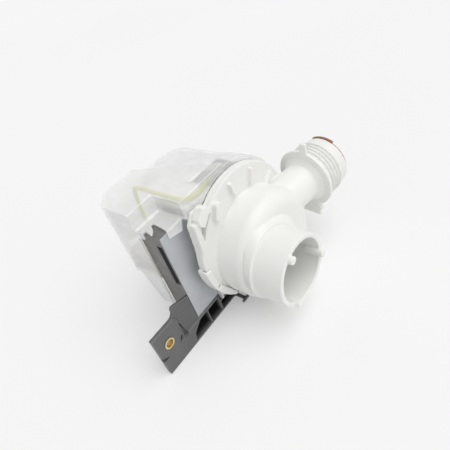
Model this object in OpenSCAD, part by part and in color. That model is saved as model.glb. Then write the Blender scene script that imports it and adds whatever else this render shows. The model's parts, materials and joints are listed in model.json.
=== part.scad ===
// Washer drain pump: moulded pump head on a synchronous motor with a side bracket and a clear drip cover.
// The rotor axis runs along Y, the inlet faces -Y and the outlet points to +X.
// The origin lies on the bracket's base, under the rotor axis, in the plane of the core's front face.

/* [Frame] */
// Height of the rotor axis above the bracket's base
axis_h = 46.8; // [46:0.2:50]

/* [Pump head] */
// Outer radius of the pump chamber
head_r = 33.6; // [32:0.2:36]
// Sideways offset of the chamber from the rotor axis
head_x = 2; // [0:0.5:3]
// Drop of the chamber's centre below the rotor axis
head_drop = 10; // [8:0.5:11]
// Depth of the chamber in front of its flange
head_depth = 21; // [20:0.5:26]
// Radius of the chamber's rounded front edge
head_round = 9; // [6:0.5:10]
// Wall thickness of the moulded head
head_wall = 2.4; // [2:0.1:3]
// Radius of the head's round flange
flange_r = 39.8; // [39:0.2:42]
// Thickness of the head's flange
flange_t = 3; // [2.8:0.1:4]
// Radius of the opening that the motor's plate closes
mouth_r = 32; // [31:0.1:32.4]

/* [Inlet] */
// Outer radius of the inlet spigot
inlet_r = 21; // [20.6:0.1:22]
// Wall of the inlet spigot
inlet_wall = 2.8; // [2.6:0.1:3]
// Length of the inlet spigot in front of the chamber
inlet_len = 20.8; // [18:0.2:26]
// Sideways offset of the inlet from the rotor axis
inlet_x = -10.6; // [-12:0.2:-8]
// Drop of the inlet below the rotor axis
inlet_drop = 8.6; // [7:0.2:10]
// Radius of the shoulder where the inlet leaves the chamber
shoulder_r = 27; // [25:0.2:28]
// Length of the shoulder's cone
shoulder_len = 5; // [5:0.5:8]
// Step from the shoulder down to the inlet spigot
shoulder_step = 1.2; // [1:0.1:2]
// Diameter of each peg in the inlet's mouth
peg_d = 4.8; // [3.6:0.2:4.8]
// Length of each peg past the inlet's mouth
peg_len = 2.6; // [2:0.1:4]
// Length of each peg inside the inlet
peg_in = 9; // [6:0.5:12]

/* [Outlet] */
// Distance of the outlet's disc from the rotor axis
outlet_x = 49; // [47:0.5:52]
// Height of the outlet's axis above the rotor axis
outlet_up = 2.5; // [1:0.5:3]
// Forward tilt of the outlet, in degrees
outlet_tilt = 8; // [6:1:8]
// Distance of the outlet's axis in front of the head's back face
outlet_fwd = 13.8; // [13.8:0.1:15]
// Outer radius of the outlet's neck
neck_r = 12.6; // [11.6:0.1:13]
// Wall of the outlet's neck
neck_wall = 3.4; // [3.2:0.1:3.8]
// Radius of the outlet's stop disc
disc_r = 19.8; // [19.4:0.2:21]
// Thickness of the stop disc
disc_t = 2.2; // [1.6:0.1:3]
// Radius of the hose barb under its ribs
barb_r = 16.8; // [16.4:0.1:17]
// Height of the barb's ribs
rib_h = 1.6; // [1:0.1:1.8]
// Number of ribs on the barb
rib_n = 5; // [3:1:5]
// Spacing of the ribs
rib_step = 2.6; // [2.4:0.1:3]
// Wall of the barb
barb_wall = 2.2; // [1.8:0.1:2.4]
// Length of the barb past its disc
barb_len = 19.4; // [19:0.2:22]

/* [Check valve] */
// Thickness of the rubber valve's rim on the barb's end
valve_rim_t = 1.5; // [1.2:0.1:2]
// Radius of the valve's flow opening
valve_r = 9.6; // [8:0.2:10]
// Thickness of the valve's flap
flap_t = 1.6; // [1.2:0.1:2]
// Overlap of the flap on its seat
flap_lap = 1.8; // [1.4:0.1:2]

/* [Motor plate and rotor can] */
// Thickness of the motor's front plate
plate_t = 2.6; // [2:0.1:3]
// Outer radius of the rotor can
can_r = 13.6; // [13:0.1:14]
// Wall of the rotor can
can_wall = 1.2; // [1:0.1:1.4]
// Length of the rotor can behind the core's front face
can_len = 37.5; // [36:0.5:42]
// Angle of the snap latch around the plate
latch_angle = 131; // [130:1:132]
// Width of the snap latch
latch_w = 11; // [10:0.5:12]

/* [Rotor] */
// Radius of the rotor shaft
shaft_r = 2; // [1.8:0.1:2.4]
// Radius of the rotor magnet
magnet_r = 11.2; // [10.6:0.1:11.6]
// Length of the rotor magnet
magnet_len = 29; // [26:0.5:30]
// Outer radius of the shaft bearings
bearing_r = 5; // [4.4:0.1:5.4]
// Outer radius of the front bearing's rubber cushion
cushion_r = 8; // [7.4:0.1:8.6]
// Length of the shaft bearings
bearing_len = 4.6; // [4:0.1:5]

/* [Impeller] */
// Radius of the impeller
impeller_r = 18.6; // [17:0.2:19]
// Outer radius of the impeller's hub
hub_r = 8.4; // [8:0.1:9]
// Wall of the impeller's hub
hub_wall = 1.8; // [1.4:0.1:2]
// Length of the impeller's hub
hub_len = 14; // [13:0.2:14.4]
// Number of impeller blades
blade_n = 6; // [4:1:8]
// Thickness of the impeller blades
blade_t = 1.8; // [1.4:0.1:2.4]
// Angle that the drive dog covers
dog_span = 60; // [40:2:70]

/* [Motor core] */
// Thickness of the lamination stack
core_t = 17; // [15:0.5:18]
// Half height of the lamination stack
core_h = 32.5; // [32:0.1:33]
// Reach of the core's yoke from the rotor axis
yoke_x = 51; // [50:0.5:54]
// Width of the core's yoke
yoke_w = 18; // [17:0.5:18.5]
// Width of the core's legs
leg_w = 10.5; // [10:0.1:11]
// Reach of the core's poles past the rotor axis
pole_x = 18; // [17:0.5:20]
// Radius of the rivets in the stack
rivet_r = 1.6; // [1.2:0.1:2]

/* [Coils] */
// Build of each coil around its leg, bobbin and winding
coil_build = 4.2; // [3.8:0.1:4.4]
// Wall of the coil bobbins
bobbin_wall = 1; // [0.8:0.1:1.2]
// Length of the coil bobbins
bobbin_len = 21; // [18:0.5:22]

/* [Terminals] */
// Width of the terminal housing
terminal_w = 22; // [18:0.5:24]
// Height of the terminal housing
terminal_h = 15; // [12:0.5:16]
// Length of the terminal housing behind the core
terminal_len = 25; // [22:0.5:26]
// Width of the flat terminals
tab_w = 6.3; // [4.8:0.1:6.3]

/* [Drip cover] */
// Wall of the drip cover
cover_wall = 1.4; // [1.2:0.1:1.4]
// Inner radius of the cover's arch at its front
arch_r = 41; // [40.9:0.1:42]
// Inner radius of the cover's arch at its back
arch_back_r = 38; // [37:0.1:42]
// Inner height of the cover's raised box above the core's top
box_rise = 10.9; // [9.5:0.1:12.5]
// Reach of the cover behind the core's front face
cover_back = 47.6; // [46:0.2:52]

/* [Bracket] */
// Thickness of the bracket's ear
ear_t = 3; // [2.5:0.1:4]
// Width of the bracket's ear
ear_w = 19.3; // [18:0.1:20]
// Height of the bracket's ear above the base
ear_h = 31.7; // [28:0.2:34]
// Distance of the sleeve's axis from the ear's outer edge
sleeve_inset = 8.4; // [7:0.2:10]
// Height of the sleeve's axis above the base
sleeve_z = 20.6; // [16:0.2:22]
// Radius of the hole in the brass sleeve
sleeve_r = 2.5; // [2:0.1:2.8]
// Wall of the brass sleeve
sleeve_wall = 1; // [0.8:0.1:1.4]
// Width of the bracket's block beside the core
block_w = 13.4; // [13:0.1:14]
// Height of the bracket's block above the base
block_h = 38; // [34:0.5:40]
// Reach of the bracket's rail past the rotor axis
rail_x = 20; // [12:0.5:24]
// Depth of the bracket's rail behind the core's front face
rail_depth = 21; // [20:0.5:24]
// Depth of the pockets in the rail's front
pocket_depth = 9.4; // [8:0.2:10]
// Thickness of the rail's walls
rail_wall = 1.8; // [1.5:0.1:2.2]

/* [Earth wire] */
// Diameter of the earth wire
wire_d = 2.4; // [2:0.1:2.6]

/* [Hidden] */
$fn = 72;

// Clearances
seat = 0.3;
run = 0.05;
slip = 0.15;
past = 1;

// Planes along the rotor axis, from the core's front face forward
coil_flat = 1.3;
plate_gap = 2.1;
plate_back = -(coil_build - coil_flat + plate_gap);
plate_front = plate_back - plate_t;
flange_front = plate_front - flange_t;
head_front = flange_front - head_depth;
mouth_y = head_front - inlet_len;
peg_angles = [116, 235, 350];
peg_out = 0.2;
peg_ring_r = inlet_r - inlet_wall + peg_out;

// Outlet frame and valve
outlet_y = plate_front - outlet_fwd;
neck_back = 28;
collar_len = 3;
neck_end = outlet_x - collar_len - past;
collar_in = 1;
rib_start = 0.9;
rib_gap = 0.8;
rib_tip = 0.2;
tab_out = 6.2;
tab_side = [-4.6, -0.4];
lug_out = 7.4;
lug_side = [-8, 5];
lug_in = 3;
bump_r = 1.8;
bump_t = 1;
knob_at = [-19.3, 28.8];
knob_turn = 65;
knob_r = 2.4;
knob_len = 3;
knob_h = 3.4;
valve_rim = disc_t + barb_len;
flap_r = valve_r + flap_lap;
flap_z = valve_rim + valve_rim_t + seat;
hinge_out = 0.8;
hinge_x = -flap_r - hinge_out;
hinge_z = flap_z + flap_t / 2;
hinge_w = 6;
hinge_ear = 1.8;
hinge_pin_r = 0.4;
barb_bore = barb_r - barb_wall;
valve_skirt = 5;
valve_wall = 2;
valve_face_r = barb_bore + 0.8;
valve_lug_r = barb_r + 0.4;
valve_lug_span = 52;

// Motor plate details
plate_in = 0.2;
plate_r = flange_r - plate_in;
hook_lip = 2.4;
hooks = [[325, 24, 1.2], [275, 24, 1.2], [204, 52, 1.4]];
slot_angle = 201;
slot_in = 3.4;
slot_wide = 1.8;
post_r = 3;
post_x = 1;
post_z = 22;
window_in = 2.5;
window_span = [127, 157];
latch_r = [flange_r + 1.4, flange_r + 7.8];
latch_cut = 2.4;
latch_h = 2.4;
arm_h = 0.8;
arm_root = [[flange_r - 2.4, window_span[1] - 4], [flange_r - 0.4, window_span[1] + 5]];
arm_tip = [[flange_r + 8.6, latch_angle + 7.5], [flange_r + 5.6, latch_angle + 5]];
web = [[flange_r - 2, 168], [flange_r - 0.2, 163], [flange_r + 7.6, 140], [flange_r + 8.2, 131],
       [flange_r + 4, 124], [flange_r - 2, 122]];
finger = [[-30.4, 36.6], [-24.2, 31.6], [-22.4, 34], [-28.6, 39]];
finger_h = 2;
gusset_angles = [97, 66, 34];
gusset_r = [28, flange_r - 3.3];
gusset_w = 2.2;
gusset_h = 2.4;
seal_r = 1.1;
seal_gap = 0.1;
seal_out = 2.4;
seal_ring_r = mouth_r + seal_out;
cover_disc_out = 3.4;
cover_disc_r = can_r + cover_disc_out;
cover_disc_t = 2.2;
can_bore = can_r - can_wall;
can_floor = can_len - can_wall;

// Bearing places
bearing_in = 0.4;
seal_back = 0.6;
washer_in = 0.4;
plug_len = bearing_len + bearing_in;
magnet_gap = 1.1;
magnet_front = plate_front + plug_len + magnet_gap;
magnet_back = magnet_front + magnet_len;
washer_t = 0.9;
washer_gap = 0.1;
rear_y = magnet_back + washer_t + 2 * washer_gap;
shaft_short = 0.6;
shaft_back = rear_y + bearing_len - shaft_short;

// Impeller places
impeller_gap = 1.4;
impeller_back = plate_front - cover_disc_t - impeller_gap;
hub_front = impeller_back - hub_len;
hub_face = 2;
backplate_t = 1.5;
hub_joint = 0.4;
shaft_out = 0.6;
dog_gap = 0.4;
dog_wall = 1.6;
dog_r = hub_r - hub_wall - seat;
dog_ring_r = shaft_r + dog_wall;
dog_back = impeller_back - dog_gap;
dog_front = hub_front + hub_face + dog_gap;

// Core details
bore_gap = 0.4;
bore_r = can_r + bore_gap;
pole_gap = 4;
pole_back = 7;
rivet_head = 1;
rivet_head_r = rivet_r + rivet_head;
rivet_head_t = 0.8;
rivet_in = 8;
rivet_x = [pole_x - rivet_in];
rivet_z = core_h - leg_w / 2;
groove_w = 4.2;
groove_depth = 2;
groove_y = 1.4;
groove_z = [-4, 26];

// Coil places
bobbin_x = -31.2;
bobbin_flange = 1.2;
bobbin_round = 1;
winding_round = 2.4;
winding_inset = 0.4;

// Terminal housing places
terminal_in = 1;
terminal_x = -(yoke_x - terminal_in);
tab_t = 0.8;
tab_len = 8;
socket_wall = 1.6;
socket_depth = 12;

// Cover places
cover_front = -1;
hood_gap = 0.4;
hood_front = plate_back + hood_gap;
arch_lap = 0.6;
arch_open_r = plate_r - arch_lap;
cover_left = -(yoke_x + seat);
cover_step = core_h + seat;
box_h = core_h + box_rise;
box_x = [-33, 0, -21.6];
step_gap = 1;
step_y = core_t + step_gap;
corner = [8.3, 8.6];
arch_low = 12;
skirt_low = -6;
skirt_leg = [35, 28, -29];
apron_y = [-(cover_wall + seat), -seat];
apron_x = [4, 1];
apron_z = [3.4, 5.6];
notch_x = [5 - yoke_x, 7 - yoke_x];
notch_y = 11.4;
tongue = [[1.2, 0.2], [6, 0.2], [3.4, -4.3], [-0.1, -6.9]];
lip_h = 3;

// Bracket places
rail_front = -0.9;
rail_top = axis_h - core_h;
block_x = -yoke_x;
ear_x = block_x - block_w - ear_w;
rear_x = [-39.6, -33.6];
rear_h = rail_top + 8;
slope = 3.6;
boss_r = 5.4;
boss_len = 8;
coil_gap = 1;
coil_drop = 0.6;
coil_room = [bobbin_x - coil_gap, bobbin_x + bobbin_len + coil_gap];
coil_low = axis_h - core_h - coil_build - coil_drop;
sleeve_x = ear_x + sleeve_inset;
sleeve_out = 0.4;
foot_out = 10;
foot_x = block_x - foot_out;
pocket_rib = 1;
pocket_slant = 1.4;
foot_rib_x = block_x + 6.4;
pole_rib_x = pole_x - 12;
pole_room_x = coil_room[1] + 3;
coil_rib_x = (coil_room[0] + coil_room[1]) / 2;
tall_pockets = [[foot_rib_x + pocket_rib, coil_room[0] - rail_wall], [pole_room_x, pole_rib_x],
                [pole_rib_x + pocket_rib, rail_x - rail_wall]];
low_pockets = [[coil_room[0], coil_rib_x], [coil_rib_x + pocket_rib, coil_room[1]]];
rail_lip = 1.2;
fillet_r = 4;
top_round = 1.4;
slot_top = [-0.2, 29];
slot_low = [0.9, 13.4];
slot_r = 1.5;
slot_depth = 2;
block_face = [[0.1, 12.6], [1, 13.3], [1.6, 15.3], [1.7, 18], [1.6, 21.2], [1.2, 24], [0.4, 27],
              [-0.4, 29.9], [-2, 32], [-2, block_h + past], [block_w + past, block_h + past],
              [block_w + past, 13.6], [3.4, 13.4]];
face_depth = 1.2;
nick = [[-5.4, 12.2], [-2.2, 13.8], [-1.4, 18.4]];
edge_nick = [[1, 11.4], [4.8, 11.6], [2.2, 13.8], [-1, 16], [-1, 13]];
clip_x = -20.5;
clip_len = 9;
clip_w = 2;
clip_tip = [6, 1.4];

// Route of the earth wire: its upper points lie above the core's top, its last ones above the terminals
wire_top = [[-0.5, 4, 1.9], [-3.5, 4, 1.9], [-6, 3, 3.7], [-8.5, 1.4, 5.5], [-12, 0, 5.9], [-17, -0.7, 5.9],
            [-22, -0.6, 6.1], [-25.4, 0.6, 6.5], [-27.2, 3.4, 6.7], [-27.6, 8, 6.7], [-27.6, 14, 6.7],
            [-27.6, 20, 6.7], [-27.6, 26, 6.7], [-27.6, 32, 6.7], [-27.6, 38, 6.5], [-27.7, 42, 5.1],
            [-28, 43.6, 1.5]];
wire_end = [[-28.6, 43.8, 20.5], [-29.6, 43.4, 14.5], [-30.8, 41.6, 8.9], [-31.8, 39.2, 5.3],
            [-32, 38.4, 2.9], [-32, 38.4, 0]];
wire_points = concat([for (p = wire_top) p + [0, 0, core_h]],
                     [for (p = wire_end) p + [0, 0, terminal_h / 2]]);
wire_sides = 8;
lug_ring_r = 3.4;
lug_rivet_r = 1.8;
lug_t = 0.8;
lug_rivet_t = 1.4;
lug_crimp = [3, 2.4, 3.1];
lug_lap = 1;

// Frame helpers

// Moves a piece from the rotor axis to its height above the base
module place() {
    translate([0, 0, axis_h]) children();
}

// Extrudes an outline drawn in X and Z along Y
module slab(y0, y1) {
    translate([0, y1, 0]) rotate([90, 0, 0]) linear_extrude(y1 - y0) children();
}

// Extrudes an outline drawn in Y and Z along X
module beam(x0, x1) {
    translate([x0, 0, 0]) rotate([90, 0, 90]) linear_extrude(x1 - x0) children();
}

// Rectangle between two corners
module box2(x0, x1, z0, z1) {
    translate([x0, z0]) square([x1 - x0, z1 - z0]);
}

// Rectangle with rounded corners
module soft_box2(x0, x1, z0, z1, r) {
    box2(x0 + r, x1 - r, z0, z1);
    box2(x0, x1, z0 + r, z1 - r);
    for (x = [x0 + r, x1 - r], z = [z0 + r, z1 - r]) translate([x, z]) circle(r);
}

// Ring outline
module ring2(ro, ri) {
    difference() {
        circle(ro);
        circle(ri);
    }
}

// Wedge that starts at the centre, for cutting arcs out of rings
module wedge2(mid, span, reach) {
    half = span / 2;
    polygon([[0, 0], reach * [cos(mid - half), sin(mid - half)], reach / cos(half) * [cos(mid), sin(mid)],
             reach * [cos(mid + half), sin(mid + half)]]);
}

// Point at a radius and an angle around the rotor axis
function polar(p) = p[0] * [cos(p[1]), sin(p[1])];

// Disc with a rounded front edge, growing forward from its back plane
module puck(r, h, round) {
    rotate([90, 0, 0]) rotate_extrude() {
        square([r - round, h]);
        square([r, h - round]);
        translate([r - round, h - round]) circle(round);
    }
}

// Places a piece on the outlet's axis, with its own Z along the flow
module on_outlet() {
    translate([outlet_x, outlet_y, outlet_up]) rotate([0, 0, -outlet_tilt]) rotate([0, 90, 0]) children();
}

// Pump head

// Cone that joins the chamber to the inlet
module shoulder(shrink) {
    hull() {
        translate([(head_x + inlet_x) / 2, 0, -(head_drop + inlet_drop) / 2])
            slab(head_front + shoulder_len / 2, head_front + shoulder_len / 2 + past)
                circle(shoulder_r - shrink, $fn = 64);
        translate([inlet_x, 0, -inlet_drop])
            slab(head_front - shoulder_len / 2 + shrink, head_front - shoulder_len / 2 + shrink + past)
                circle(inlet_r + shoulder_step - shrink, $fn = 64);
    }
}

// Stop disc, barb and the disc's tabs
module outlet_end() {
    translate([0, 0, -collar_len]) cylinder(r1 = neck_r, r2 = barb_r - collar_in, h = collar_len);
    cylinder(r = disc_r, h = disc_t);
    cylinder(r = barb_r, h = valve_rim);
    for (i = [0 : rib_n - 1])
        translate([0, 0, disc_t + rib_start + i * rib_step])
            cylinder(r1 = barb_r + rib_h, r2 = barb_r + rib_tip, h = rib_step - rib_gap);
    linear_extrude(disc_t) {
        box2(-disc_r - tab_out, -barb_r, tab_side[0], tab_side[1]);
        box2(disc_r - lug_in, disc_r + lug_out, lug_side[0], lug_side[1]);
    }
    translate([disc_r + bump_r, lug_side[0], 0]) cylinder(r = bump_r, h = disc_t + bump_t);
}

// Outline of the latch's block, its outer corners cut
module latch_leaf() {
    half = latch_w / 2;
    polygon([[latch_r[0], -half], [latch_r[1] - latch_cut, -half], [latch_r[1], latch_cut - half],
             [latch_r[1], half - latch_cut], [latch_r[1] - latch_cut, half], [latch_r[0], half]]);
}

// Flange with the spring arm and the block of the latch
module latch_flange() {
    slab(flange_front, plate_front) difference() {
        circle(flange_r);
        arc_band(flange_r + past, flange_r - window_in, window_span);
    }
    slab(flange_front - arm_h, plate_front) polygon([for (p = concat(arm_root, arm_tip)) polar(p)]);
    slab(flange_front - latch_h, plate_front) rotate(latch_angle) latch_leaf();
    slab(flange_front - latch_h, flange_front - latch_h + finger_h) polygon(finger);
}

// Short ribs on the flange
module flange_ribs() {
    slab(flange_front - gusset_h, flange_front)
        for (a = gusset_angles) rotate(a) box2(gusset_r[0], gusset_r[1], -gusset_w / 2, gusset_w / 2);
}

// Stop for the hand when the head is turned
module knob() {
    slab(flange_front - knob_h, flange_front) translate(knob_at) rotate(knob_turn) {
        box2(-knob_len, knob_len, -knob_r, knob_r);
        for (x = [-knob_len, knob_len]) translate([x, 0]) circle(knob_r);
    }
}

// Outer form of the head without its bores
module head_outside() {
    translate([head_x, plate_front, -head_drop]) puck(head_r, flange_t + head_depth, head_round);
    latch_flange();
    flange_ribs();
    knob();
    shoulder(0);
    translate([inlet_x, 0, -inlet_drop]) slab(mouth_y, head_front) circle(inlet_r);
    on_outlet() {
        translate([0, 0, -neck_back]) cylinder(r = neck_r, h = neck_back);
        outlet_end();
    }
}

// Flow space inside the head
module head_inside() {
    translate([head_x, flange_front, -head_drop])
        puck(head_r - head_wall, head_depth - head_wall, head_round - head_wall);
    slab(flange_front - past, plate_front + past) intersection() {
        circle(mouth_r);
        translate([head_x, -head_drop]) circle(head_r - head_wall);
    }
    shoulder(inlet_wall);
    translate([inlet_x, 0, -inlet_drop])
        slab(mouth_y - past, head_front + head_wall + past) circle(inlet_r - inlet_wall);
    on_outlet() {
        translate([0, 0, -neck_back - past])
            cylinder(r = neck_r - neck_wall, h = neck_back + disc_t + past * 2);
        translate([0, 0, disc_t]) cylinder(r = barb_bore, h = barb_len + past);
    }
}

module pump_head() {
    color("whitesmoke") place() {
        difference() {
            head_outside();
            head_inside();
            translate([-flange_r * 2, plate_front, -flange_r * 2])
                cube([flange_r * 2 + neck_end, neck_r * 2, flange_r * 4]);
            slab(plate_front - (seal_r + seal_gap) * 2, plate_front + past)
                ring2(seal_ring_r + seal_r + seal_gap, seal_ring_r - seal_r - seal_gap);
        }
        translate([inlet_x, 0, -inlet_drop]) slab(mouth_y - peg_len, mouth_y + peg_in)
            for (a = peg_angles) rotate(a) translate([peg_ring_r, 0]) circle(peg_d / 2);
    }
}

module check_valve_ring() {
    color("saddlebrown") place() on_outlet() {
        translate([0, 0, valve_rim - valve_skirt]) difference() {
            cylinder(r = barb_bore, h = valve_skirt);
            translate([0, 0, -past]) cylinder(r = barb_bore - valve_wall, h = valve_skirt + past * 2);
        }
        translate([0, 0, valve_rim]) linear_extrude(valve_rim_t) {
            ring2(valve_face_r, valve_r);
            arc_band(valve_lug_r, valve_r, [180 - valve_lug_span / 2, 180 + valve_lug_span / 2]);
        }
        for (side = [-1, 1])
            translate([hinge_x - hinge_ear / 2, side * (hinge_w / 2 + seat + hinge_ear / 2) - hinge_ear / 2,
                       valve_rim]) cube([hinge_ear, hinge_ear, hinge_z + hinge_ear / 2 - valve_rim]);
        on_hinge() cylinder(r = hinge_pin_r, h = hinge_w + hinge_ear * 2, center = true);
    }
}

// Places a piece on the flap's hinge, with its own Z along the hinge
module on_hinge() {
    translate([hinge_x, 0, hinge_z]) rotate([90, 0, 0]) children();
}

module check_valve_flap() {
    color("saddlebrown") place() on_outlet() difference() {
        union() {
            translate([0, 0, flap_z]) cylinder(r = flap_r, h = flap_t);
            translate([hinge_x, -hinge_w / 2, flap_z]) cube([-hinge_x - valve_r, hinge_w, flap_t]);
            on_hinge() cylinder(r = flap_t / 2, h = hinge_w, center = true);
        }
        on_hinge() cylinder(r = hinge_pin_r + run, h = hinge_w * 2, center = true);
    }
}

module flange_seal() {
    color("dimgray") place() translate([0, plate_front - seal_r - seal_gap, 0])
        rotate([90, 0, 0]) rotate_extrude() translate([seal_ring_r, 0]) circle(seal_r);
}

// Motor plate with the closed rotor can

module motor_plate() {
    color("gainsboro") place() difference() {
        union() {
            slab(plate_front, plate_back) circle(plate_r);
            slab(plate_front, can_len) circle(can_r);
            for (z = [-post_z, post_z]) translate([post_x, 0, z]) slab(plate_front, 0) circle(post_r);
            for (h = hooks) bayonet_hook(h[0], h[1], h[2]);
            slab(plate_front + slip, plate_back - slip) polygon([for (p = web) polar(p)]);
        }
        translate([head_x, 0, -head_drop])
            slab(flange_front - head_depth, plate_front) circle(head_r + seat);
        slab(plate_front - past, can_floor) circle(can_bore);
        slab(flange_front - flange_t * 2, flange_front - seat) rotate(slot_angle)
            box2(flange_r - slot_in, flange_r, -slot_wide / 2, slot_wide / 2);
    }
}

// Band of a ring between two angles
module arc_band(ro, ri, span) {
    intersection() {
        ring2(ro, ri);
        wedge2((span[0] + span[1]) / 2, span[1] - span[0], ro * 2);
    }
}

// Hook that reaches round the head's flange
module bayonet_hook(mid, span, thick) {
    sides = [mid - span / 2, mid + span / 2];
    out_r = flange_r + seat + thick;
    slab(flange_front - seat, plate_back) arc_band(out_r, flange_r + seat, sides);
    slab(flange_front - seat - thick, flange_front - seat) arc_band(out_r, flange_r - hook_lip, sides);
    slab(plate_front + slip, plate_back) arc_band(out_r, plate_r - past, sides);
}

module can_cover() {
    color("lightgray") place() difference() {
        union() {
            slab(plate_front - cover_disc_t, plate_front) circle(cover_disc_r);
            slab(plate_front, plate_front + plug_len) circle(can_bore - run);
        }
        slab(plate_front - bearing_in, plate_front + plug_len + past) circle(cushion_r);
        slab(plate_front - cover_disc_t - past, plate_front) circle(bearing_r);
    }
}

module shaft_seal() {
    color("black") place()
        slab(plate_front - cover_disc_t, plate_front - seal_back) ring2(bearing_r, shaft_r + run);
}

// Bearing bush at one end of the shaft
module bearing(y) {
    slab(y, y + bearing_len) ring2(bearing_r, shaft_r + run);
}

module front_bearing() {
    color("darkgoldenrod") place() bearing(plate_front + bearing_in);
}

module front_cushion() {
    color("dimgray") place()
        slab(plate_front - bearing_in, plate_front + plug_len) ring2(cushion_r, bearing_r);
}

module rear_bearing() {
    color("darkgoldenrod") place() bearing(rear_y);
}

module rear_cushion() {
    color("dimgray") place() difference() {
        slab(rear_y, can_floor) circle(can_bore - run);
        slab(rear_y - past, rear_y + bearing_len) circle(bearing_r);
    }
}

// Rotor and impeller

module rotor_shaft() {
    color("silver") place() slab(hub_front - shaft_out, shaft_back) circle(shaft_r);
}

module rotor_magnet() {
    color("dimgray") place() slab(magnet_front, magnet_back) ring2(magnet_r, shaft_r);
}

module thrust_washers() {
    color("white") place()
        for (y = [magnet_front - washer_gap - washer_t, magnet_back + washer_gap])
            slab(y, y + washer_t) ring2(bearing_r - washer_in, shaft_r + run);
}

module drive_dog() {
    color("white") place() slab(dog_front, dog_back) difference() {
        union() {
            circle(dog_ring_r);
            intersection() {
                circle(dog_r);
                wedge2(0, dog_span, dog_r * 2);
            }
        }
        circle(shaft_r);
    }
}

module impeller() {
    inner = hub_r - hub_wall;
    color("white") place() {
        slab(hub_front, impeller_back) ring2(hub_r, inner);
        slab(hub_front, hub_front + hub_face) ring2(inner + hub_joint, shaft_r + run);
        slab(dog_front, dog_back) intersection() {
            ring2(inner + hub_joint, dog_ring_r + seat);
            wedge2(180, dog_span, hub_r * 2);
        }
        slab(impeller_back - backplate_t, impeller_back) ring2(impeller_r, hub_r - hub_joint);
        for (i = [0 : blade_n - 1])
            slab(hub_front + hub_face, impeller_back - backplate_t / 2)
                rotate(i * 360 / blade_n) box2(hub_r - hub_joint, impeller_r, -blade_t / 2, blade_t / 2);
    }
}

// Motor core

// Outline of one lamination
module lamination() {
    difference() {
        union() {
            box2(-yoke_x, -(yoke_x - yoke_w), -core_h, core_h);
            for (side = [-1, 1]) {
                z0 = side > 0 ? core_h - leg_w : -core_h;
                box2(-yoke_x, pole_x, z0, z0 + leg_w);
            }
            box2(-pole_back, pole_x, -core_h, core_h);
        }
        circle(bore_r);
        box2(0, pole_x + past, -pole_gap / 2, pole_gap / 2);
        for (x = rivet_x, z = [-rivet_z, rivet_z]) translate([x, z]) circle(rivet_r);
    }
}

module stator_core() {
    color("slategray") place() difference() {
        slab(0, core_t) lamination();
        translate([-yoke_x - past, groove_y, groove_z[0]])
            cube([groove_depth + past, groove_w, groove_z[1] - groove_z[0]]);
    }
}

module core_rivets() {
    color("silver") place()
        for (x = rivet_x, z = [-rivet_z, rivet_z]) translate([x, 0, z]) {
            slab(0, core_t) circle(rivet_r);
            slab(-rivet_head_t, 0) circle(rivet_head_r);
            slab(core_t, core_t + rivet_head_t) circle(rivet_head_r);
        }
}

// Rounded frame around one leg, between an inner and an outer build, flatter at the front
module leg_frame(side, inner, outer, round) {
    mid = side * (core_h - leg_w / 2);
    front = max(outer - coil_flat, bobbin_wall);
    difference() {
        soft_box2(-front, core_t + outer, mid - leg_w / 2 - outer, mid + leg_w / 2 + outer, round);
        box2(-inner, core_t + inner, mid - leg_w / 2 - inner, mid + leg_w / 2 + inner);
    }
}

module coil_bobbin(side) {
    beam(bobbin_x, bobbin_x + bobbin_len) leg_frame(side, 0, bobbin_wall, bobbin_wall / 2);
    for (x = [bobbin_x, bobbin_x + bobbin_len - bobbin_flange])
        beam(x, x + bobbin_flange) leg_frame(side, 0, coil_build, bobbin_round);
}

module coil_winding(side) {
    beam(bobbin_x + bobbin_flange, bobbin_x + bobbin_len - bobbin_flange)
        leg_frame(side, bobbin_wall, coil_build - winding_inset, winding_round);
}

module bobbin_upper() {
    color("white") place() coil_bobbin(1);
}

module bobbin_lower() {
    color("white") place() coil_bobbin(-1);
}

module winding_upper() {
    color("peru") place() coil_winding(1);
}

module winding_lower() {
    color("peru") place() coil_winding(-1);
}

// Terminals and earth

module terminal_housing() {
    back = core_t + terminal_len;
    color("ivory") place() difference() {
        translate([terminal_x, core_t, -terminal_h / 2]) cube([terminal_w, terminal_len, terminal_h]);
        translate([terminal_x + socket_wall, back - socket_depth, -terminal_h / 2 + socket_wall])
            cube([terminal_w - socket_wall * 2, socket_depth + past, terminal_h - socket_wall * 2]);
    }
}

module terminal_tabs() {
    root = core_t + terminal_len - socket_depth;
    color("silver") place()
        for (x = [terminal_w / 4, terminal_w * 3 / 4])
            translate([terminal_x + x - tab_w / 2, root, -tab_t / 2]) cube([tab_w, tab_len, tab_t]);
}

module earth_lug() {
    start = wire_points[0];
    color("silver") place() translate([start[0], start[1], core_h]) {
        translate([lug_crimp[0] + lug_ring_r - lug_lap, 0, 0]) {
            cylinder(r = lug_ring_r, h = lug_t);
            cylinder(r = lug_rivet_r, h = lug_t + lug_rivet_t);
        }
        translate([0, -lug_crimp[1] / 2, 0]) cube(lug_crimp);
    }
}

// Direction of the wire at one of its points
function wire_dir(i) =
    let (a = wire_points[max(i - 1, 0)], b = wire_points[min(i + 1, len(wire_points) - 1)])
    (b - a) / norm(b - a);

// Corners of the wire's section at one of its points
function wire_ring(i) =
    let (d = wire_dir(i), s = cross(d, [0, 1, 0.3]), u = s / norm(s), v = cross(d, u))
    [for (k = [0 : wire_sides - 1])
        let (a = k * 360 / wire_sides) wire_points[i] + wire_d / 2 * (cos(a) * u + sin(a) * v)];

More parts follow.
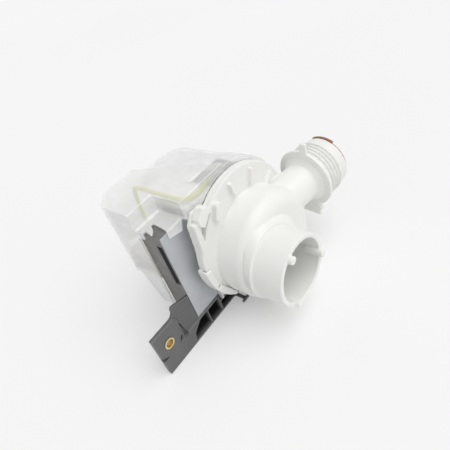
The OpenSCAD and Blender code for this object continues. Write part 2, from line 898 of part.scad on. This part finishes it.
module earth_wire() {
    rings = len(wire_points);
    corners = [for (i = [0 : rings - 1]) each wire_ring(i)];
    sides = [for (i = [0 : rings - 2], k = [0 : wire_sides - 1])
        let (n = (k + 1) % wire_sides, a = i * wire_sides, b = a + wire_sides)
        each [[a + k, a + n, b + n], [a + k, b + n, b + k]]];
    last = (rings - 1) * wire_sides;
    ends = [for (k = [1 : wire_sides - 2]) each [[0, k + 1, k], [last, last + k, last + k + 1]]];
    color("yellowgreen") place() polyhedron(corners, concat(sides, ends));
}

// Drip cover

// Plan of the cover's raised box, grown by a wall
module box_plan(grow, front, back) {
    polygon([[box_x[0] - grow, front], [box_x[1] + grow, front], [box_x[2] + grow, back],
             [cover_left - grow + corner[0], back], [cover_left - grow, back - corner[1]],
             [cover_left - grow, step_y - grow], [box_x[0] - grow, step_y - grow]]);
}

// Body of the cover, grown by a wall, with front planes for its box, its low step and its arch
module cover_body(grow, box_front, step_front, arch_front, back, low) {
    translate([0, 0, low]) linear_extrude(box_h + grow - low) box_plan(grow, box_front, back);
    slab(step_front, step_y) box2(cover_left - grow, box_x[0] + past, low, cover_step + grow);
    translate([0, arch_front, 0]) rotate([-90, 0, 0])
        cylinder(r1 = arch_r + grow, r2 = arch_back_r + grow, h = back - arch_front);
}

module drip_cover() {
    color([0.93, 0.94, 0.94, 0.6]) place() {
        difference() {
            cover_body(cover_wall, hood_front, cover_front, hood_front, cover_back, skirt_low);
            cover_body(0, hood_front + cover_wall, hood_front - past, hood_front + cover_wall,
                       cover_back - cover_wall, -arch_r * 2);
            slab(hood_front - past, hood_front + cover_wall + past) circle(arch_open_r);
            translate([-arch_r * 2, hood_front - past, -arch_r * 2])
                cube([arch_r * 4, cover_back * 2, arch_r * 2 + skirt_low]);
            translate([box_x[0] + past, hood_front - past, -arch_r])
                cube([arch_r * 2, cover_back * 2, arch_r + arch_low]);
            translate([cover_left - cover_wall - past, hood_front - past, skirt_low - past])
                cube([arch_r, core_t + seat + past - hood_front, core_h - skirt_low + past - lip_h]);
            translate([terminal_x - seat, core_t, skirt_low - past])
                cube([terminal_w + seat * 2, cover_back, terminal_h / 2 - skirt_low + past + seat]);
            translate([0, 0, core_h - lip_h - past]) linear_extrude(lip_h + seat + cover_wall + past * 2)
                polygon([[cover_left - cover_wall - past, hood_front], [notch_x[0], hood_front],
                         [notch_x[1], notch_y], [cover_left - cover_wall - past, notch_y]]);
        }
        beam(cover_left - cover_wall, cover_left)
            polygon([[core_t + seat, skirt_low], [skirt_leg[0], skirt_low], [skirt_leg[1], skirt_leg[2]],
                     [core_t + seat, skirt_leg[2]]]);
        slab(apron_y[0], apron_y[1])
            polygon([[notch_x[0], cover_step + cover_wall], [notch_x[0], core_h - apron_z[0]],
                     [box_x[0] - apron_x[0], core_h - apron_z[1]],
                     [box_x[0] - apron_x[1], cover_step + cover_wall]]);
        translate([cover_left, notch_y, cover_step]) linear_extrude(cover_wall) polygon(tongue);
    }
}

// Bracket

// Outline of the bracket's ear and block, joined by a hollow curve
module side_outline() {
    left = block_x - block_w;
    box2(ear_x, block_x, 0, ear_h);
    polygon([[left, 0], [left, block_h - top_round], [left + top_round, block_h],
             [block_x, block_h - slope], [block_x, 0]]);
    difference() {
        box2(left - fillet_r, left + top_round, ear_h - past, ear_h + fillet_r);
        translate([left - fillet_r, ear_h + fillet_r]) circle(fillet_r);
    }
}

// Cuts in the front of the ear and the block
module side_cuts() {
    translate([block_x - block_w, 0]) {
        polygon([slot_top, slot_low + [slot_r, 0], slot_low - [slot_r, 0]]);
        translate(slot_low) circle(slot_r);
        polygon(nick);
    }
    translate([ear_x, 0]) polygon(edge_nick);
}

// Pockets in the front of the rail
module rail_pockets() {
    for (p = tall_pockets) box2(p[0], p[1], rail_lip, rail_top - rail_wall);
    for (p = low_pockets) box2(p[0], p[1], rail_lip, coil_low - rail_wall);
    polygon([[foot_x + rail_wall, rail_lip], [foot_rib_x, rail_lip], [foot_rib_x, rail_top - rail_wall],
             [block_x, rail_top - rail_wall], [foot_x + rail_wall + pocket_slant, rail_top / 2]]);
}

module bracket() {
    color([0.2, 0.2, 0.21]) difference() {
        union() {
            slab(rail_front, ear_t + rail_front) side_outline();
            slab(rail_front, rail_depth) box2(block_x, rail_x, 0, rail_top);
            slab(rail_front, rail_front + pocket_depth + rail_wall) box2(foot_x, block_x, 0, rail_top);
            slab(core_t, rail_depth) box2(rear_x[0], rear_x[1], 0, rear_h);
            translate([sleeve_x, 0, sleeve_z]) slab(rail_front, rail_front + boss_len) circle(boss_r);
            translate([clip_x, rail_front - clip_len, 0]) cube([clip_w, clip_len + past, clip_w]);
            translate([clip_x + clip_w / 2 - clip_tip[0] / 2, rail_front - clip_len, 0])
                cube([clip_tip[0], clip_tip[1], clip_w]);
        }
        translate([sleeve_x, 0, sleeve_z])
            slab(rail_front - past, boss_len + past) circle(sleeve_r + sleeve_wall);
        slab(rail_front - past, rail_depth + past) box2(coil_room[0], coil_room[1], coil_low, axis_h);
        slab(rail_front - past, rail_front + pocket_depth) rail_pockets();
        slab(rail_front - past, rail_front + slot_depth) side_cuts();
        translate([block_x - block_w, 0, 0]) slab(rail_front - past, rail_front + face_depth)
            polygon(block_face);
    }
}

module bracket_sleeve() {
    color("goldenrod") translate([sleeve_x, 0, sleeve_z])
        slab(rail_front - sleeve_out, boss_len + rail_front) ring2(sleeve_r + sleeve_wall, sleeve_r);
}

pump_head();
check_valve_ring();
check_valve_flap();
flange_seal();
motor_plate();
can_cover();
shaft_seal();
front_bearing();
front_cushion();
rear_bearing();
rear_cushion();
rotor_shaft();
rotor_magnet();
thrust_washers();
drive_dog();
impeller();
stator_core();
core_rivets();
bobbin_upper();
bobbin_lower();
winding_upper();
winding_lower();
terminal_housing();
terminal_tabs();
drip_cover();
bracket();
bracket_sleeve();
earth_lug();
earth_wire();
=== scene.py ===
"""Looks of the washer drain pump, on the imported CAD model. Metres, in the CAD's frame."""
import json
import bmesh
import bpy
import numpy as np
from mathutils import Matrix, Vector


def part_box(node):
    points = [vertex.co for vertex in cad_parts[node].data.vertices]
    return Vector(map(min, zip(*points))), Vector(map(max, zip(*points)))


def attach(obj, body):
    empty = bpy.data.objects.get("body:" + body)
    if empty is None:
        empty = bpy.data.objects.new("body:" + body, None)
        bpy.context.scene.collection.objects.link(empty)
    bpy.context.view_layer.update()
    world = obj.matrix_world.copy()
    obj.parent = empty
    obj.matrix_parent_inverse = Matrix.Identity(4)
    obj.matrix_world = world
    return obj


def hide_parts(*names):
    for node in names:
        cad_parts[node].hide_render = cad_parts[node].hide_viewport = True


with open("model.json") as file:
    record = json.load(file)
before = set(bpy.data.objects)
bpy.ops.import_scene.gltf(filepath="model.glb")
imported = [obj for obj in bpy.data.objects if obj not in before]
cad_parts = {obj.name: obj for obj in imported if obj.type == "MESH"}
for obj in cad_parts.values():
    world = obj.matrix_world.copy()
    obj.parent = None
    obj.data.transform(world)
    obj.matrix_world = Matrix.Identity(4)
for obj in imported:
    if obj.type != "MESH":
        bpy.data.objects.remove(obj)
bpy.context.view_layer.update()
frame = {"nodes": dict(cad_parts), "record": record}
NODES = frame["nodes"]
CORE_LOW, CORE_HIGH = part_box("stator_core")
COVER_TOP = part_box("drip_cover")[1].z
MM = 0.001
X, Y, Z = range(3)

# Sharpness of a skin: the name of its mesh layer, and where creases and edges begin and end
SHARPNESS = "sharpness"
# Painted shade: creases at or below these sharpness values are darkened
PAINTED_SHADE_CREASE = (0.40, 0.49)
RUBBED_EDGE = (0.51, 0.60)
MILKY_EDGE = (0.51, 0.58)

# Heights of bumps, and how far each colour of light spreads inside plastic
GRAIN_HEIGHT = 0.2 * MM
SHEET_HEIGHT = 0.3 * MM
LAP_HEIGHT = 0.4 * MM
WAVE_HEIGHT = 1.0 * MM
LIGHT_DEPTH = 2.0 * MM
EVEN_COLOURS = (1.0, 1.0, 1.0)

# Bracket: depth behind the core's front face over which its colour goes dark as painted shade
BRACKET_SHADE_DEPTH = (0.6 * MM, 3.0 * MM)

# Clear cover: depths below its top between which its walls go from low to box opacity, what its edges add,
# and the share of the opacity that shadows take
WALL_DEPTH = 9.6 * MM
BOX_DEPTH = 5.6 * MM
EDGE_OPACITY = 0.25
SHADOW_SHARE = 0.4

# Steel stack: where the groove's painted shade begins and is full, from its left edge and from its faces
GROOVE_FROM_EDGE = (0.2 * MM, 1.4 * MM)
GROOVE_FROM_FACE = (0.8 * MM, 1.2 * MM)
SHEET_FACE = ((0.485, 0.50, 0.525), (0.575, 0.59, 0.615))
SHEET_EDGE = ((0.17, 0.165, 0.158), (0.26, 0.253, 0.245))
SHEET_GAP = (0.13, 0.127, 0.122)
# Near black painted shade for the groove in the steel stack
GROOVE_SHADE_TONE = (0.08, 0.078, 0.09)
FACE_SHINE = 0.35
GROOVE_ROUGHER = 0.45

# Tape on the coils: the tones of a lap's edge and top, how far apart the laps are and how high they stand
TAPE_TONES = ((0.70, 0.70, 0.71), (0.86, 0.86, 0.865))
TAPE_PITCH = 3.0 * MM
TAPE_STEP = 0.2 * MM

# Corners of a CAD mesh that are closer than this are one
MERGE_WITHIN = 2e-6

# Camera: place, way and upward side, and its lens in millimetres on a frame of SENSOR
CAMERA_PLACE = (-0.13211, -0.15161, 0.2098)
CAMERA_FORWARD = (0.4944, 0.6016, -0.6274)
CAMERA_UP = (0.6378, 0.2393, 0.7321)
CAMERA_LENS = 33.91
SENSOR = 36.0
NEAREST_SEEN = 0.01

# Floor: half its side, how far it lies below the base, its tones, how much of its tone it glows with where
# it is seen, and the tone that lights the pump from below
FLOOR_HALF = 6.0
FLOOR_DROP = 0.2 * MM
FLOOR_TONES = ((0.925, 0.925, 0.925), (0.94, 0.94, 0.94))
FLOOR_GLOW = 0.3
FLOOR_BOUNCE = (0.92, 0.92, 0.92)

# Lamp: a place above the pump, and the side that is turned up
LAMP_PLACE = (0, 0, 2)
LAMP_UP = (0, 1, 0.01)

# Sky: its light on the pump, and its tone where it is seen
SKY_LIGHT = 0.56
SKY_SEEN = 0.94


# Shader helpers

class Shade:
    """The node tree of a material or a world, with short calls for the nodes used here."""

    def __init__(self, owner, output="ShaderNodeOutputMaterial"):
        owner.use_nodes = True
        self.owner = owner
        self.tree = owner.node_tree
        self.tree.nodes.clear()
        self.out = self.add(output)
        coord = self.add("ShaderNodeTexCoord")
        self.at = coord.outputs["Object"]
        self.normal = coord.outputs["Normal"]

    def add(self, kind, **values):
        node = self.tree.nodes.new(kind)
        for key, value in values.items():
            setattr(node, key, value)
        return node

    def link(self, a, b):
        self.tree.links.new(a, b)

    def put(self, socket, value):
        """A link if value is a socket, and a constant if not."""
        if isinstance(value, bpy.types.NodeSocket):
            self.link(value, socket)
        else:
            socket.default_value = value

    def noise(self, scale, detail=4.0, rough=0.55):
        """Cloudy noise of about scale clouds to the metre."""
        n = self.add("ShaderNodeTexNoise")
        self.link(self.at, n.inputs["Vector"])
        n.inputs["Scale"].default_value = scale
        n.inputs["Detail"].default_value = detail
        n.inputs["Roughness"].default_value = rough
        return n.outputs["Fac"]

    def bands(self, direction, scale, distortion):
        """Soft wavy bands across a direction."""
        w = self.add("ShaderNodeTexWave", wave_type="BANDS", bands_direction=direction)
        self.link(self.at, w.inputs["Vector"])
        w.inputs["Scale"].default_value = scale
        w.inputs["Distortion"].default_value = distortion
        return w.outputs["Fac"]

    def span(self, fac, low, high, a=0.0, b=1.0):
        """fac from low..high to a..b, held at the ends."""
        m = self.add("ShaderNodeMapRange")
        self.link(fac, m.inputs["Value"])
        for key, value in (("From Min", low), ("From Max", high), ("To Min", a), ("To Max", b)):
            m.inputs[key].default_value = value
        return m.outputs["Result"]

    def mix(self, fac, a, b, blend="MIX"):
        m = self.add("ShaderNodeMix", data_type="RGBA", blend_type=blend)
        for socket, value in ((m.inputs[0], fac), (m.inputs[6], a), (m.inputs[7], b)):
            if isinstance(value, tuple) and len(value) == 3:
                value = (*value, 1.0)
            self.put(socket, value)
        return m.outputs[2]

    def math(self, op, a, b=0.0):
        m = self.add("ShaderNodeMath", operation=op)
        self.put(m.inputs[0], a)
        self.put(m.inputs[1], b)
        return m.outputs[0]

    def axis(self, vector, index):
        s = self.add("ShaderNodeSeparateXYZ")
        self.link(vector, s.inputs[0])
        return s.outputs[index]

    def bump(self, height, strength, distance):
        b = self.add("ShaderNodeBump")
        self.link(height, b.inputs["Height"])
        b.inputs["Strength"].default_value = strength
        b.inputs["Distance"].default_value = distance
        return b.outputs["Normal"]

    def sharpness(self):
        """How sharp the skin is: 0.5 on flats, more on raised edges and less in creases."""
        return self.add("ShaderNodeAttribute", attribute_name=SHARPNESS).outputs["Fac"]

    def seen(self):
        """1 for what the camera sees, also in reflections and through clear walls, and 0 for light."""
        path = self.add("ShaderNodeLightPath")
        shown = self.math("MAXIMUM", path.outputs["Is Camera Ray"], path.outputs["Is Glossy Ray"])
        return self.math("MAXIMUM", shown, path.outputs["Is Transmission Ray"])

    def done(self, color, rough, normal=None, **more):
        """Ends the material with a surface shader; a word of more is a socket's name with _ for spaces."""
        p = self.add("ShaderNodeBsdfPrincipled")
        self.put(p.inputs["Base Color"], color)
        self.put(p.inputs["Roughness"], rough)
        if normal is not None:
            self.link(normal, p.inputs["Normal"])
        for key, value in more.items():
            self.put(p.inputs[key.replace("_", " ")], value)
        self.link(p.outputs[0], self.out.inputs["Surface"])
        return self.owner


def finish_named(name):
    """The empty node tree of a new material."""
    return Shade(bpy.data.materials.new(name))


def toned(color, factor, lift=0.0):
    """The colour times factor plus lift, at most white."""
    return tuple(min(c * factor + lift, 1.0) for c in color)


# Finishes of the pump's pieces

def moulded_plastic(name, base, tint, rough, grain=0.02, soft=0.0, shade=0.0, edge=0.0, behind_shade=1.0):
    """Injection moulding: faint flow mottling, a fine spark-eroded grain, uneven shine, painted shade in the
    creases (by shade), rubbed edges (by edge) and painted shade behind the front faces (the colour scaled by
    the last argument)."""
    s = finish_named(name)
    flow = s.span(s.noise(26.0, 3.0), 0.35, 0.7)
    color = s.mix(flow, base, tint)
    # Painted shade: the colour goes dark behind the front faces
    if behind_shade < 1.0:
        behind = s.span(s.axis(s.at, Y), *BRACKET_SHADE_DEPTH)
        color = s.mix(behind, color, toned(base, behind_shade))
    # Painted shade: the creases are darkened, in patches
    if shade:
        crease_shade = s.span(s.sharpness(), *PAINTED_SHADE_CREASE, 1.0, 0.0)
        patches = s.span(s.noise(240.0, 3.0), 0.2, 0.8, shade * 0.7, shade)
        color = s.mix(s.math("MULTIPLY", crease_shade, patches), color, toned(base, 0.5))
    if edge:
        rim = s.span(s.sharpness(), *RUBBED_EDGE)
        patches = s.span(s.noise(300.0, 4.0), 0.3, 0.7, edge * 0.4, edge)
        color = s.mix(s.math("MULTIPLY", rim, patches), color, toned(base, 3.0))
    shine = s.span(s.noise(90.0, 4.0), 0.3, 0.75, rough - 0.06, rough + 0.09)
    eroded = s.bump(s.noise(1900.0, 2.0), grain, GRAIN_HEIGHT)
    return s.done(color, shine, eroded, Subsurface_Weight=soft, Subsurface_Scale=LIGHT_DEPTH,
                  Subsurface_Radius=EVEN_COLOURS)


def clear_plastic(name, base, opacity, low):
    """Natural translucent moulding: milky, with thicker and thinner clouds, a soft shine, whiter edges and
    the opacity low in the walls below the raised box. It scatters light forward, so lamps get through it
    more than sight does."""
    s = finish_named(name)
    cloud = s.noise(34.0, 3.0)
    wall = s.span(s.axis(s.at, Z), COVER_TOP - WALL_DEPTH, COVER_TOP - BOX_DEPTH, low, opacity)
    rim = s.math("MULTIPLY", s.span(s.sharpness(), *MILKY_EDGE), EDGE_OPACITY)
    milky = s.span(cloud, 0.3, 0.72, -0.04, 0.05)
    thick = s.math("ADD", s.math("ADD", wall, rim), milky)
    path = s.add("ShaderNodeLightPath")
    share = s.span(path.outputs["Is Shadow Ray"], 0.0, 1.0, 1.0, SHADOW_SHARE)
    color = s.mix(s.span(s.noise(15.0, 2.0), 0.35, 0.7), base, toned(base, 0.97))
    shine = s.span(cloud, 0.3, 0.7, 0.3, 0.42)
    wave = s.bump(s.noise(55.0, 2.0), 0.12, WAVE_HEIGHT)
    return s.done(color, shine, wave, Alpha=s.math("MULTIPLY", thick, share), Subsurface_Weight=0.5,
                  Subsurface_Scale=LIGHT_DEPTH, Subsurface_Radius=EVEN_COLOURS)


def core_steel(name):
    """Punched steel stack: satin blue-grey faces, brownish edges with the lines of the sheets, and painted
    shade in the groove between the faces: near black and matt."""
    s = finish_named(name)
    cloud = s.noise(70.0, 5.0)
    plate = s.mix(s.span(cloud, 0.3, 0.7), *SHEET_FACE)
    sheets = s.bands("Y", 320.0, 0.6)
    rust = s.mix(s.span(s.noise(120.0, 4.0), 0.35, 0.7), *SHEET_EDGE)
    edge = s.mix(s.span(sheets, 0.1, 0.9, 0.0, 0.5), rust, SHEET_GAP)
    flat = s.span(s.math("ABSOLUTE", s.axis(s.normal, Y)), 0.6, 0.8)
    begins, full = GROOVE_FROM_EDGE
    inward = s.span(s.axis(s.at, X), CORE_LOW.x + begins, CORE_LOW.x + full)
    groove_floor = s.math("MULTIPLY", inward, s.span(s.axis(s.normal, X), -0.5, -0.9))
    begins, full = GROOVE_FROM_FACE
    along = s.axis(s.at, Y)
    inner = s.math("MULTIPLY", s.span(along, CORE_LOW.y + begins, CORE_LOW.y + full),
                   s.span(along, CORE_HIGH.y - full, CORE_HIGH.y - begins, 1.0, 0.0))
    # Painted shade: the groove's floor and inner walls take the near black tone
    groove_shade = s.math("MAXIMUM", groove_floor, s.math("MULTIPLY", flat, inner))
    color = s.mix(groove_shade, s.mix(flat, edge, plate), GROOVE_SHADE_TONE)
    lines = s.math("MULTIPLY", sheets, s.math("SUBTRACT", 1.0, flat))
    rough = s.math("ADD", s.span(cloud, 0.3, 0.7, 0.36, 0.5), s.math("MULTIPLY", groove_shade, GROOVE_ROUGHER))
    shine = s.math("MULTIPLY", s.math("SUBTRACT", 1.0, groove_shade), FACE_SHINE)
    return s.done(color, rough, s.bump(lines, 0.35, SHEET_HEIGHT), Metallic=shine)


def metal(name, base, rough):
    """Bright metal with fine scratches and clouded shine."""
    s = finish_named(name)
    marks = s.noise(700.0, 6.0, 0.7)
    color = s.mix(s.span(s.noise(120.0, 3.0), 0.3, 0.7), base, toned(base, 0.86))
    shine = s.span(marks, 0.3, 0.7, rough - 0.08, rough + 0.1)
    return s.done(color, shine, s.bump(marks, 0.05, GRAIN_HEIGHT), Metallic=1.0)


def rubber(name, base):
    """Matt moulded rubber with a bloom."""
    s = finish_named(name)
    bloom = s.noise(160.0, 4.0)
    color = s.mix(s.span(bloom, 0.35, 0.7), base, toned(base, 1.35, 0.01))
    shine = s.span(bloom, 0.3, 0.7, 0.55, 0.75)
    return s.done(color, shine, s.bump(s.noise(1500.0), 0.05, GRAIN_HEIGHT))


def coil_tape(name):
    """Pale tape lapped round a coil, with the edge of each lap showing."""
    s = finish_named(name)
    laps = s.bands("X", 60.0, 1.2)
    color = s.mix(s.span(laps, 0.0, 0.3), *TAPE_TONES)
    return s.done(color, 0.5, s.bump(laps, 0.3, LAP_HEIGHT))


# The head and plate whites take painted shade in their creases
WHITE = moulded_plastic("head_white", (0.88, 0.88, 0.855), (0.85, 0.85, 0.825), 0.36, soft=0.1, shade=0.5)
PLATE = moulded_plastic("plate_white", (0.87, 0.875, 0.85), (0.84, 0.845, 0.82), 0.38, soft=0.1, shade=0.5)
SLIDE = moulded_plastic("slide_white", (0.78, 0.78, 0.76), (0.74, 0.74, 0.72), 0.45)
IVORY = moulded_plastic("terminal_ivory", (0.80, 0.77, 0.69), (0.76, 0.73, 0.66), 0.42)
# The bracket takes painted shade in its creases and behind its front faces
BLACK = moulded_plastic("bracket_black", (0.105, 0.104, 0.105), (0.14, 0.139, 0.14), 0.4, grain=0.05,
                        shade=0.8, edge=0.5, behind_shade=0.2)
CLEAR = clear_plastic("cover_clear", (0.97, 0.97, 0.975), opacity=0.33, low=0.5)
CORE = core_steel("core_steel")
STEEL = metal("bright_steel", (0.66, 0.66, 0.67), 0.3)
BRASS = metal("sleeve_brass", (0.82, 0.68, 0.38), 0.3)
BRONZE = metal("bearing_bronze", (0.55, 0.40, 0.22), 0.45)
MAGNET = metal("magnet_grey", (0.12, 0.12, 0.125), 0.5)
BROWN = rubber("valve_brown", (0.26, 0.12, 0.07))
SEAL = rubber("seal_black", (0.02, 0.02, 0.02))
WIRE = rubber("wire_green", (0.50, 0.53, 0.02))
TAPE = coil_tape("coil_tape")

PAINT = {
    "pump_head": WHITE, "motor_plate": PLATE, "can_cover": PLATE, "impeller": SLIDE, "drive_dog": SLIDE,
    "thrust_washers": SLIDE, "bobbin_upper": SLIDE, "bobbin_lower": SLIDE, "terminal_housing": IVORY,
    "bracket": BLACK, "drip_cover": CLEAR, "stator_core": CORE, "core_rivets": STEEL, "rotor_shaft": STEEL,
    "terminal_tabs": STEEL, "earth_lug": STEEL, "bracket_sleeve": BRASS, "front_bearing": BRONZE,
    "rear_bearing": BRONZE, "rotor_magnet": MAGNET, "check_valve_ring": BROWN, "check_valve_flap": BROWN,
    "flange_seal": SEAL, "shaft_seal": SEAL, "front_cushion": SEAL, "rear_cushion": SEAL, "earth_wire": WIRE,
    "winding_upper": TAPE, "winding_lower": TAPE}
BODY = {n: body for body, names in frame["record"]["behaviour"]["bodies"].items() for n in names}


def paint(obj, node):
    """Gives the object the node's material alone."""
    obj.data.materials.clear()
    obj.data.materials.append(PAINT[node])


for node in PAINT:
    paint(NODES[node], node)


# Pieces that take a node's place

def stands_for(obj, node):
    """obj takes the node's place, body and material."""
    paint(obj, node)
    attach(obj, BODY[node])
    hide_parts(node)


def copy_of(node, name):
    """A new object with the node's mesh, its doubled corners merged."""
    bm = bmesh.new()
    bm.from_mesh(NODES[node].data)
    bmesh.ops.remove_doubles(bm, verts=bm.verts, dist=MERGE_WITHIN)
    mesh = bpy.data.meshes.new(name)
    bm.to_mesh(mesh)
    bm.free()
    obj = bpy.data.objects.new(name, mesh)
    bpy.context.collection.objects.link(obj)
    return obj


def settle(obj):
    """Turns the object's modifiers into its mesh."""
    graph = bpy.context.evaluated_depsgraph_get()
    mesh = bpy.data.meshes.new_from_object(obj.evaluated_get(graph))
    obj.modifiers.clear()
    old = obj.data
    obj.data = mesh
    bpy.data.meshes.remove(old)


def corners(mesh):
    """Places and normals of the mesh's corners, one row each."""
    count = len(mesh.vertices)
    place = np.empty(count * 3, np.float32)
    normal = np.empty(count * 3, np.float32)
    mesh.vertices.foreach_get("co", place)
    mesh.vertex_normals.foreach_get("vector", normal)
    return place.reshape(count, 3), normal.reshape(count, 3)


def mark_sharpness(mesh):
    """Writes how sharp the skin is at each corner: 0.5 on flats, more on raised edges and less in creases.
    It is the angle whose cosine is the mean, over the ways to the next corners, of the way's part along the
    normal, as a share of a half turn, and then averaged with the next corners' values."""
    place, normal = corners(mesh)
    count = len(place)
    ends = np.empty(len(mesh.edges) * 2, np.int32)
    mesh.edges.foreach_get("vertices", ends)
    a, b = ends.reshape(-1, 2).T
    number = np.maximum(np.bincount(ends, minlength=count), 1)
    way = place[b] - place[a]
    way /= np.maximum(np.linalg.norm(way, axis=1), 1e-9)[:, None]
    lean = np.bincount(a, (way * normal[a]).sum(1), count) - np.bincount(b, (way * normal[b]).sum(1), count)
    sharp = np.arccos(np.clip(lean / number, -1.0, 1.0)) / np.pi
    shared = sharp + np.bincount(a, sharp[b], count) + np.bincount(b, sharp[a], count)
    layer = mesh.attributes.new(SHARPNESS, "FLOAT", "POINT")
    layer.data.foreach_set("value", (shared / (number + 1)).astype(np.float32))


def filleted(node, name, voxel, turns, keep=1.0):
    """The node's solid with moulded fillets: an even voxel skin whose corners are smoothed over, thinned to
    the share keep of its triangles."""
    obj = copy_of(node, name)
    remesh = obj.modifiers.new("skin", "REMESH")
    remesh.mode = "VOXEL"
    remesh.voxel_size = voxel
    smooth = obj.modifiers.new("fillet", "SMOOTH")
    smooth.factor = 0.5
    smooth.iterations = turns
    if keep < 1.0:
        thin = obj.modifiers.new("thin", "DECIMATE")
        thin.ratio = keep
    settle(obj)
    obj.data.polygons.foreach_set("use_smooth", np.ones(len(obj.data.polygons), bool))
    mark_sharpness(obj.data)
    return obj


def lapped(obj):
    """Raises the skin of a coil in laps of tape: along each lap, from one pitch to the next in X, a corner
    moves out along its normal from nothing to the step's height, and faces across X stay."""
    mesh = obj.data
    place, normal = corners(mesh)
    rise = TAPE_STEP * ((place[:, X] / TAPE_PITCH) % 1.0) * (1.0 - np.abs(normal[:, X]))
    mesh.vertices.foreach_set("co", (place + normal * rise[:, None]).ravel())
    mesh.update()
    return obj


stands_for(filleted("pump_head", "head_moulding", voxel=0.36 * MM, turns=3, keep=0.3), "pump_head")
stands_for(filleted("motor_plate", "plate_moulding", voxel=0.4 * MM, turns=3, keep=0.7), "motor_plate")
stands_for(filleted("bracket", "bracket_moulding", voxel=0.35 * MM, turns=4), "bracket")
stands_for(filleted("drip_cover", "cover_moulding", voxel=0.5 * MM, turns=4), "drip_cover")
stands_for(filleted("earth_wire", "wire_skin", voxel=0.3 * MM, turns=6), "earth_wire")
socket = "terminal_housing"
stands_for(filleted(socket, "socket_moulding", voxel=0.3 * MM, turns=2, keep=0.4), socket)
for level in ("upper", "lower"):
    bobbin = "bobbin_" + level
    stands_for(filleted(bobbin, bobbin + "_moulding", voxel=0.3 * MM, turns=2, keep=0.3), bobbin)
    winding = "winding_" + level
    stands_for(lapped(filleted(winding, "tape_" + level, voxel=0.4 * MM, turns=4)), winding)


# Camera

def aim(obj, place, forward, up):
    """Puts a camera or lamp at place, looking along forward."""
    z = -Vector(forward).normalized()
    x = Vector(up).cross(z).normalized()
    y = z.cross(x)
    turn = Matrix((x, y, z)).transposed().to_4x4()
    obj.matrix_world = Matrix.Translation(place) @ turn


lens = bpy.data.cameras.new("camera")
lens.sensor_width = SENSOR
lens.lens = CAMERA_LENS
lens.clip_start = NEAREST_SEEN
camera = bpy.data.objects.new("camera", lens)
bpy.context.collection.objects.link(camera)
aim(camera, CAMERA_PLACE, CAMERA_FORWARD, CAMERA_UP)
bpy.context.scene.camera = camera


# Floor, lamp, sky and view

def floor():
    """A wide white sheet under the pump that takes its soft shadow."""
    mesh = bpy.data.meshes.new("floor")
    left, right = -FLOOR_HALF, FLOOR_HALF
    sheet = [(left, left, 0), (right, left, 0), (right, right, 0), (left, right, 0)]
    mesh.from_pydata(sheet, [], [(0, 1, 2, 3)])
    obj = bpy.data.objects.new("floor", mesh)
    bpy.context.collection.objects.link(obj)
    obj.location.z = -FLOOR_DROP
    s = finish_named("floor")
    tone = s.mix(s.span(s.noise(2.2, 2.0), 0.3, 0.7), *FLOOR_TONES)
    lit = s.mix(1.0, tone, (1.0 - FLOOR_GLOW,) * 3, "MULTIPLY")
    seen = s.seen()
    mesh.materials.append(s.done(s.mix(seen, FLOOR_BOUNCE, lit), 0.9, Emission_Color=tone,
                                 Emission_Strength=s.math("MULTIPLY", seen, FLOOR_GLOW),
                                 Specular_IOR_Level=0.0))


def sky_lamp(name, strength, spread, way):
    """A far lamp with a wide soft disc that shines along way."""
    data = bpy.data.lights.new(name, "SUN")
    data.energy = strength
    data.angle = spread
    obj = bpy.data.objects.new(name, data)
    bpy.context.collection.objects.link(obj)
    aim(obj, LAMP_PLACE, way, LAMP_UP)


def sky():
    """An even white sky that is brighter where it is seen than as a light on the pump."""
    world = bpy.data.worlds.new("world")
    s = Shade(world, "ShaderNodeOutputWorld")
    white = s.add("ShaderNodeBackground")
    white.inputs["Color"].default_value = (1.0, 1.0, 1.0, 1.0)
    s.link(s.span(s.seen(), 0.0, 1.0, SKY_LIGHT, SKY_SEEN), white.inputs["Strength"])
    s.link(white.outputs[0], s.out.inputs["Surface"])
    bpy.context.scene.world = world


floor()
sky_lamp("key", strength=1.5, spread=1.0, way=(-0.2, 0.5, -1.0))
sky()
bpy.context.scene.view_settings.view_transform = "Standard"
